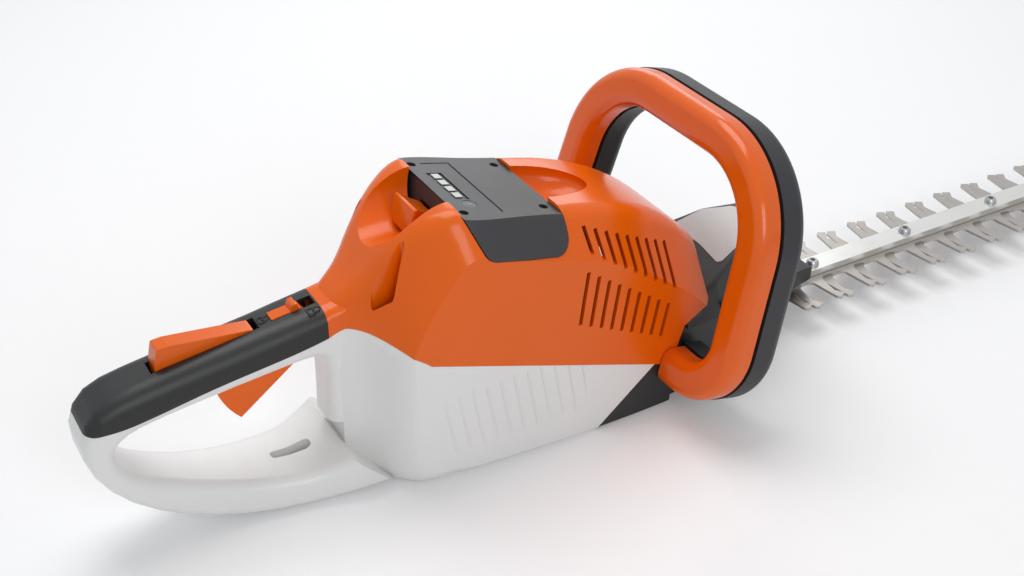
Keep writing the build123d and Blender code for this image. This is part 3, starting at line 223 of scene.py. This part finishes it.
def lock_part(name, half, foot, corner, cuts):
    """A block across the scoop with rounded lower corners, cut by planes seen from the side."""
    bpy.ops.object.select_all(action="DESELECT")
    bpy.ops.mesh.primitive_cube_add(size=1)
    part = bpy.context.object
    part.name = name
    bpy.ops.object.mode_set(mode="EDIT")
    bpy.ops.mesh.select_all(action="SELECT")
    bpy.ops.transform.resize(value=(BLANK, 2 * half, PADDLE_TOP - foot))
    bpy.ops.transform.translate(value=pin + Vector((0, 0, (PADDLE_TOP + foot) / 2)))
    if corner:
        bpy.ops.mesh.select_all(action="DESELECT")
        mesh = bmesh.from_edit_mesh(part.data)
        for edge in mesh.edges:
            one, two = (end.co - pin for end in edge.verts)
            at_foot = all(abs(end.z - foot) < WELD for end in (one, two))
            edge.select = at_foot and abs(one.y - two.y) < WELD
        bmesh.update_edit_mesh(part.data)
        bpy.ops.mesh.bevel(offset=corner, segments=8)
    for along, normal in cuts:
        bpy.ops.mesh.select_all(action="SELECT")
        bpy.ops.mesh.bisect(plane_co=pin + Vector(along), plane_no=normal, use_fill=True, clear_outer=True)
    bpy.ops.mesh.select_all(action="SELECT")
    bpy.ops.mesh.normals_make_consistent(inside=False)
    bpy.ops.object.mode_set(mode="OBJECT")
    return part


paddle = lock_part("battery_lock_paddle", PADDLE_HALF, PADDLE_FOOT, PADDLE_CORNER, [THUMB_FACE, EAR_FACE])
top_plate = lock_part("battery_lock_top", PADDLE_HALF, PLATE_FOOT, 0.0, [THUMB_FACE, BATTERY_FACE, OVER_EARS])
foot_block = lock_part("battery_lock_foot", BLOCK_HALF, BLOCK_FOOT, 0.0, [BLOCK_BACK, BLOCK_SOLE, BLOCK_NOSE])
for other in (top_plate, foot_block):
    join = paddle.modifiers.new("moulded_in_one", "BOOLEAN")
    join.object = other
    join.operation = "UNION"
    join.solver = "EXACT"
    bpy.ops.object.select_all(action="DESELECT")
    bpy.context.view_layer.objects.active = paddle
    bpy.ops.object.modifier_apply(modifier=join.name)
    bpy.data.objects.remove(other)
ease = paddle.modifiers.new("eased_edges", "BEVEL")
ease.width = PADDLE_EDGE
ease.segments = 3
ease.limit_method = "ANGLE"
ease.angle_limit = PADDLE_SHARP
bpy.ops.object.modifier_apply(modifier=ease.name)
paddle.select_set(True)
bpy.ops.object.shade_smooth_by_angle(angle=PADDLE_SHARP)
paddle.data.materials.clear()
paddle.data.materials.append(orange_abs)
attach(paddle, "battery_lock")
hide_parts("lock_lever")

# ---------------------------------------------------------------- black grip cover
# The cover of the rear grip: a polypropylene shell overmoulded with a soft black elastomer.
# The elastomer is dull and slightly dusty, with a leather-like grain that shows at a grazing angle.
soft_grip = moulded("black_grip_elastomer", "#1A1B1C", 0.44, 1.1, 0.05, ior=1.48)
dress(soft_grip, "grip_cover")
smoothed("grip_cover", "tool")

# ---------------------------------------------------------------- padlock marks
# Two small padlocks on the grip cover, closed behind the slide and open beside its front end.
# They are raised lines moulded with the cover in a darker rubber, a few tenths of a millimetre high.
MARK_WIDTH = 0.0062
MARK_LENGTH = 0.0044
MARK_LINE = 0.0009
MARK_RISE = 0.00035
MARK_LIFT = 0.0001             # above the cover
MARK_TILT = 0.1245             # radians, for the cover's slope
SHACKLE_RADIUS = MARK_WIDTH * 0.33
SHACKLE_WIRE = MARK_LINE * 0.42
SHACKLE_SHUT = 0.0004          # between the shackle's middle and the body
SHACKLE_OPEN = 0.0014
COVER_FALL = 0.126             # drop of the cover's top over a length of one
BEHIND_SLIDE = 0.0012          # forward of the middle between lever and slide
OPEN_MARK_BACK = 0.0065        # behind the cover's front end
OPEN_MARK_SIDE = -0.0105
mark_rubber = moulded("dark_mark_elastomer", "#060607", 0.6, 0.8, 0.02, ior=1.48)
cover_top = Vector(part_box("grip_cover")[1])
slide_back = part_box("slide_latch")[0][0]
lever_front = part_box("lockout_lever")[1][0]


def on_cover(x, y):
    """A point on the sloping top of the grip cover."""
    return Vector((x, y, cover_top.z - (cover_top.x - x) * COVER_FALL + MARK_LIFT))


def padlock_mark(name, place, shackle_gap):
    """A padlock drawn in raised lines: a square ring for the body and a ring for the shackle."""
    bpy.ops.object.select_all(action="DESELECT")
    bpy.ops.mesh.primitive_plane_add(size=1)
    mark = bpy.context.object
    mark.name = name
    bpy.ops.object.mode_set(mode="EDIT")
    bpy.ops.mesh.select_all(action="SELECT")
    bpy.ops.transform.resize(value=(MARK_LENGTH, MARK_WIDTH, 1))
    bpy.ops.mesh.inset(thickness=MARK_LINE, use_even_offset=True)
    bpy.ops.mesh.delete(type="FACE")
    bpy.ops.mesh.select_all(action="SELECT")
    bpy.ops.mesh.extrude_region_move(TRANSFORM_OT_translate={"value": (0, 0, MARK_RISE)})
    bpy.ops.mesh.select_all(action="DESELECT")
    bpy.ops.mesh.primitive_torus_add(major_radius=SHACKLE_RADIUS, minor_radius=SHACKLE_WIRE,
                                     major_segments=28, minor_segments=8,
                                     location=(MARK_LENGTH * 0.5 + shackle_gap, 0, 0))
    bpy.ops.mesh.select_all(action="SELECT")
    bpy.ops.mesh.normals_make_consistent(inside=False)
    bpy.ops.object.mode_set(mode="OBJECT")
    bpy.ops.object.shade_smooth_by_angle(angle=radians(40))
    mark.data.transform(Matrix.Translation(place) @ Matrix.Rotation(-MARK_TILT, 4, "Y"))
    mark.data.materials.append(mark_rubber)
    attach(mark, "tool")


shut_x = (lever_front + slide_back) / 2 + BEHIND_SLIDE
padlock_mark("padlock_mark_closed", on_cover(shut_x, 0.0), SHACKLE_SHUT)
padlock_mark("padlock_mark_open", on_cover(cover_top.x - OPEN_MARK_BACK, OPEN_MARK_SIDE), SHACKLE_OPEN)

# ---------------------------------------------------------------- battery
# A drop-in pack: black glass-filled nylon cap with a charge gauge, on a plain black case.
# The cap's tool is spark-eroded, so it is matt with a visible grain; the gauge bars are smoky lenses.
black_nylon = moulded("black_glass_filled_nylon", "#323234", 0.46, 0.9, 0.05)
dress(black_nylon, "battery_cap", "battery_case", "battery_bay", "hand_guard", "cooling_fan")
smoothed("battery_cap", "battery")


def two_tone(name, low, high, spots, roughness, ior, detail=2.0, relief=None):
    """A finish that drifts between two close tones in so many spots a metre; relief is strength and mm."""
    material, tree, shader, place = new_finish(name, ior)
    drift = add(tree, "ShaderNodeTexNoise", values={"Scale": spots, "Detail": detail},
                links={"Vector": place})
    tone = add(tree, "ShaderNodeMix", {"data_type": "RGBA"}, {6: linear(low), 7: linear(high)},
               {0: drift.outputs["Fac"]})
    tree.links.new(tone.outputs[2], shader.inputs["Base Color"])
    shader.inputs["Roughness"].default_value = roughness
    if relief:
        bump = add(tree, "ShaderNodeBump", values={"Strength": relief[0], "Distance": relief[1] / 1000},
                   links={"Height": drift.outputs["Fac"]})
        tree.links.new(bump.outputs["Normal"], shader.inputs["Normal"])
    return material


gauge_lens = two_tone("gauge_lens_polycarbonate", "#7B817D", "#959B95", 1200.0, 0.18, 1.58)
gauge_lens.node_tree.nodes["Principled BSDF"].inputs["Coat Weight"].default_value = 0.3
dress(gauge_lens, "led_bars")

grey_pom = moulded("grey_acetal", "#56595C", 0.4, 0.7, 0.02)
dress(grey_pom, "charge_gauge_button", "contact_block", "control_switch", "bar_switch")

# ---------------------------------------------------------------- gear housing and its cover
# Die-cast magnesium under a black powder coat, which closes the underside and carries the blades.
# Powder flows into an orange peel with a satin sheen, drawn a little coarser than it is.
PEEL = 1000 / 1.6
powder_coat = two_tone("black_powder_coat", "#1A1B1D", "#242527", PEEL, 0.42, 1.5,
                       detail=1.0, relief=(0.4, 0.05))
dress(powder_coat, "gear_housing", "gear_cover")

# ---------------------------------------------------------------- plate on the hand guard
# A bare polyester plate glued to the slope of the guard, pale with a silver-grey cast.
# It is smooth and glossy, and its surface waves very slightly over the adhesive.
GLUE_WAVES = 160.0
plate_film = two_tone("pale_polyester_plate", "#E6E6E5", "#EEEEEC", GLUE_WAVES, 0.3, 1.57,
                      detail=1.0, relief=(0.25, 0.1))
dress(plate_film, "rating_label")

# ---------------------------------------------------------------- front handle
# The looped front handle: its rear half is an orange polyamide moulding bolted to the gear housing.
# It comes from a brighter tool than the casing, and shows a long highlight round the loop.
LOOP_SHADING = 35.0
orange_nylon = moulded("orange_polyamide", "#EC6203", 0.18, 1.0, 0.008, ior=1.53)
orange_nylon.node_tree.nodes["Principled BSDF"].inputs["Specular IOR Level"].default_value = 0.4
dress(orange_nylon, "front_handle")
smoothed("front_handle", "tool", LOOP_SHADING)

# ---------------------------------------------------------------- switch bar
# The front half of the loop, a black elastomer-skinned bar that is pressed to run the motor.
# It is dull, and its grain is coarser than the casing's.
bar_rubber = moulded("black_bar_elastomer", "#29292B", 0.46, 1.2, 0.04, ior=1.48)
dress(bar_rubber, "switch_bar")
smoothed("switch_bar", "switch_bar", LOOP_SHADING)

# ---------------------------------------------------------------- blades
# Two punched, ground and hardened steel blades that slide on each other under the guide bar.
# Surface grinding leaves fine scratches across the bar, so their highlights spread lengthwise.
# Scratches are drawn several times as wide as they are, so that they show at all.
SCRATCH_LENGTH = 25            # times their width
SCRATCH_SHADE = 0.82
METAL_CLOUDS = 30.0            # in a metre
METAL_GLOSS = 0.08             # roughness either side of the middle


def ground_steel(name, colour, roughness, scratch_mm, along, depth_mm=0.004):
    """Machined metal with scratches drawn out along one axis."""
    material, tree, shader, place = new_finish(name, metallic=1.0)
    stretch = [1 / SCRATCH_LENGTH if axis == along else 1.0 for axis in "XYZ"]
    drawn = add(tree, "ShaderNodeMapping", values={"Scale": stretch}, links={"Vector": place})
    scratch = add(tree, "ShaderNodeTexNoise", values={"Scale": 1000 / scratch_mm, "Detail": 3.0},
                  links={"Vector": drawn.outputs["Vector"]})
    cloud = add(tree, "ShaderNodeTexNoise", values={"Scale": METAL_CLOUDS, "Detail": 2.0},
                links={"Vector": place})
    full = linear(colour)
    shade = [c * SCRATCH_SHADE for c in full[:3]] + [1.0]
    tone = add(tree, "ShaderNodeMix", {"data_type": "RGBA"}, {6: shade, 7: full}, {0: scratch.outputs["Fac"]})
    gloss = add(tree, "ShaderNodeMapRange", links={"Value": cloud.outputs["Fac"]},
                values={"To Min": roughness - METAL_GLOSS, "To Max": roughness + METAL_GLOSS})
    bump = add(tree, "ShaderNodeBump", values={"Strength": RELIEF_STRENGTH, "Distance": depth_mm / 1000},
               links={"Height": scratch.outputs["Fac"]})
    tree.links.new(tone.outputs[2], shader.inputs["Base Color"])
    tree.links.new(gloss.outputs["Result"], shader.inputs["Roughness"])
    tree.links.new(bump.outputs["Normal"], shader.inputs["Normal"])
    return material


dress(ground_steel("ground_blade_steel", "#BEB8B3", 0.34, 0.9, "Y"), "upper_blade", "lower_blade")

# ---------------------------------------------------------------- guide bar
# A rolled steel bar that keeps the blades flat, bolted through them at six places.
# Rolling leaves lines along its length and a slightly brighter face.
dress(ground_steel("rolled_bar_steel", "#ECEBE7", 0.3, 0.8, "X"), "guide_bar")

# ---------------------------------------------------------------- gear train
# Pinion, crank gear and both shafts in hobbed and ground case-hardened steel.
# Grinding leaves it bright, with faint marks along the shafts.
gear_steel = ground_steel("hobbed_gear_steel", "#A8A6A0", 0.36, 0.7, "Z")
dress(gear_steel, "pinion", "drive_gear", "crank_shaft", "motor_shaft")

# ---------------------------------------------------------------- motor
# A brushless motor: a zinc-plated steel can with an end bell, ferrite magnets and a stack of laminations.
# Zinc plating is pale and slightly blue, ferrite is a dull charcoal, and the stack shows its sheets' edges.
dress(ground_steel("zinc_plated_can", "#BFC3C6", 0.38, 1.5, "Z"), "motor_can", "motor_end_bell")
dress(ground_steel("lamination_edges", "#8E8E8C", 0.45, 0.5, "X"), "rotor_stack")
# Pressed powder has an even tone and a fine grain, as a moulding has.
dress(moulded("sintered_ferrite", "#34353A", 0.7, 0.5, 0.02), "magnet_ring")

# ---------------------------------------------------------------- bearings and sleeves
# Ball bearings in polished chrome steel, and oil-filled bronze sleeves round the rail bolts.
# Sintered bronze is warm, fine-pored and half bright.
dress(ground_steel("polished_bearing_steel", "#D6D6D4", 0.16, 0.5, "Z"), "motor_bearings", "crank_bearings")
dress(ground_steel("sintered_bronze", "#B98B4E", 0.42, 0.4, "Z"), "bolt_sleeves")

# ---------------------------------------------------------------- screws, bolts, pins and nuts
# Plated fasteners hold the blades, cover and handle; the casing's screws have a black oxide finish.
# Zinc is satin with faint turning marks; black oxide is dark and slightly oily.
zinc = ground_steel("zinc_plated_fasteners", "#B4B6B8", 0.36, 0.6, "Z")
dress(zinc, "rail_bolts", "bolt_nuts", "deck_screws", "foot_bolts", "pivot_pins", "lock_pin", "bar_guides")
black_oxide = ground_steel("black_oxide_screws", "#2C2C2E", 0.4, 0.5, "Z")
dress(black_oxide, "housing_screws", "battery_cap_screws", "rail_screws")

# ---------------------------------------------------------------- springs
# Cold-drawn music wire, bright along the coil.
# Drawing leaves fine lines, which show as a soft sheen.
dress(ground_steel("drawn_spring_wire", "#A9A9A7", 0.3, 0.4, "X"),
      "eject_springs", "trigger_spring", "lockout_spring", "bar_springs")

# ---------------------------------------------------------------- control board
# The motor controller: a glass-epoxy board under green solder mask.
# The mask is glossy, and the weave of the glass cloth shows faintly through it.
WEAVE = 900.0                  # threads in a metre
solder_mask, tree, shader, place = new_finish("green_solder_mask", ior=1.54)
weave = add(tree, "ShaderNodeTexChecker", links={"Vector": place},
            values={"Scale": WEAVE, "Color1": linear("#145C33"), "Color2": linear("#18683A")})
tree.links.new(weave.outputs["Color"], shader.inputs["Base Color"])
shader.inputs["Roughness"].default_value = 0.3
dress(solder_mask, "control_board")

# ---------------------------------------------------------------- floor
# A plain sheet of pale board that the tool rests on. It isn't part of the tool.
# Its surface is matt with a barely visible fleck.
FLOOR_SIZE = 14
FLOOR_GAP = 0.0002
FLOOR_LIFT = 0.09              # glow that only the eye sees
FLECK = 60.0                   # spots in a metre


def seen(tree):
    """One for the rays that show a surface, directly, mirrored or through glass, and nothing for others."""
    rays = add(tree, "ShaderNodeLightPath").outputs
    mirrored = add(tree, "ShaderNodeMath", {"operation": "MAXIMUM"},
                   links={0: rays["Is Camera Ray"], 1: rays["Is Glossy Ray"]})
    through = add(tree, "ShaderNodeMath", {"operation": "MAXIMUM"},
                  links={0: mirrored.outputs[0], 1: rays["Is Transmission Ray"]})
    return through.outputs[0]


bpy.ops.object.select_all(action="DESELECT")
bpy.ops.mesh.primitive_plane_add(size=FLOOR_SIZE, location=(0, 0, cad_box[0][2] - FLOOR_GAP))
floor = bpy.context.object
floor.name = "floor"
pale_board = two_tone("pale_board", "#F3F3F4", "#F6F6F7", FLECK, 0.85, 1.45)
tree = pale_board.node_tree
shader = tree.nodes["Principled BSDF"]
shader.inputs["Emission Color"].default_value = linear("#FFFFFF")
lift = add(tree, "ShaderNodeMapRange", values={"To Max": FLOOR_LIFT}, links={"Value": seen(tree)})
tree.links.new(lift.outputs["Result"], shader.inputs["Emission Strength"])
floor.data.materials.append(pale_board)

# ---------------------------------------------------------------- light
# Large soft boxes: one overhead, one behind the camera's right shoulder and one low at the far side.
# Powers are set so that a matt colour renders about as it is written.
LAMPS = (                      # name, place, aim, size, watts
    ("overhead", (0.05, 0.45, 1.55), (0.1, 0.0, 0.0), 1.0, 12.0),
    ("near_side", (-0.25, -1.55, 1.05), (0.1, 0.0, 0.08), 0.8, 8.0),
    ("far_side", (0.9, 1.3, 0.8), (0.1, 0.0, 0.1), 0.8, 4.0),
)
WORLD_LIGHT = 0.42
WORLD_SEEN = 0.9
for name, spot, aim, size, watts in LAMPS:
    lamp = bpy.data.objects.new(name, bpy.data.lights.new(name, "AREA"))
    lamp.data.size = size
    lamp.data.energy = watts
    lamp.location = spot
    lamp.rotation_euler = (Vector(aim) - Vector(spot)).to_track_quat("-Z", "Y").to_euler()
    bpy.context.scene.collection.objects.link(lamp)

world = bpy.data.worlds.new("studio")
world.use_nodes = True
bpy.context.scene.world = world
tree = world.node_tree
strength = add(tree, "ShaderNodeMapRange", values={"To Min": WORLD_LIGHT, "To Max": WORLD_SEEN},
               links={"Value": seen(tree)})
tree.nodes["Background"].inputs["Color"].default_value = linear("#F4F6F8")
tree.links.new(strength.outputs["Result"], tree.nodes["Background"].inputs["Strength"])

# ---------------------------------------------------------------- camera
# A short telephoto behind the tool's right side, looking down and forward along the blade.
CAMERA_PLACE = (-0.3635, -0.6393, 0.5792)
CAMERA_TURN = radians(30.17)
CAMERA_DIP = radians(33.48)
SENSOR = 36.0
FOCAL_LENGTH = 49.43
camera = bpy.data.objects.new("camera", bpy.data.cameras.new("camera"))
camera.data.sensor_width = SENSOR
camera.data.lens = FOCAL_LENGTH
camera.location = CAMERA_PLACE
ahead = Vector((sin(CAMERA_TURN) * cos(CAMERA_DIP), cos(CAMERA_TURN) * cos(CAMERA_DIP), -sin(CAMERA_DIP)))
camera.rotation_euler = ahead.to_track_quat("-Z", "Y").to_euler()
bpy.context.scene.collection.objects.link(camera)
bpy.context.scene.camera = camera
bpy.context.scene.view_settings.view_transform = "Standard"
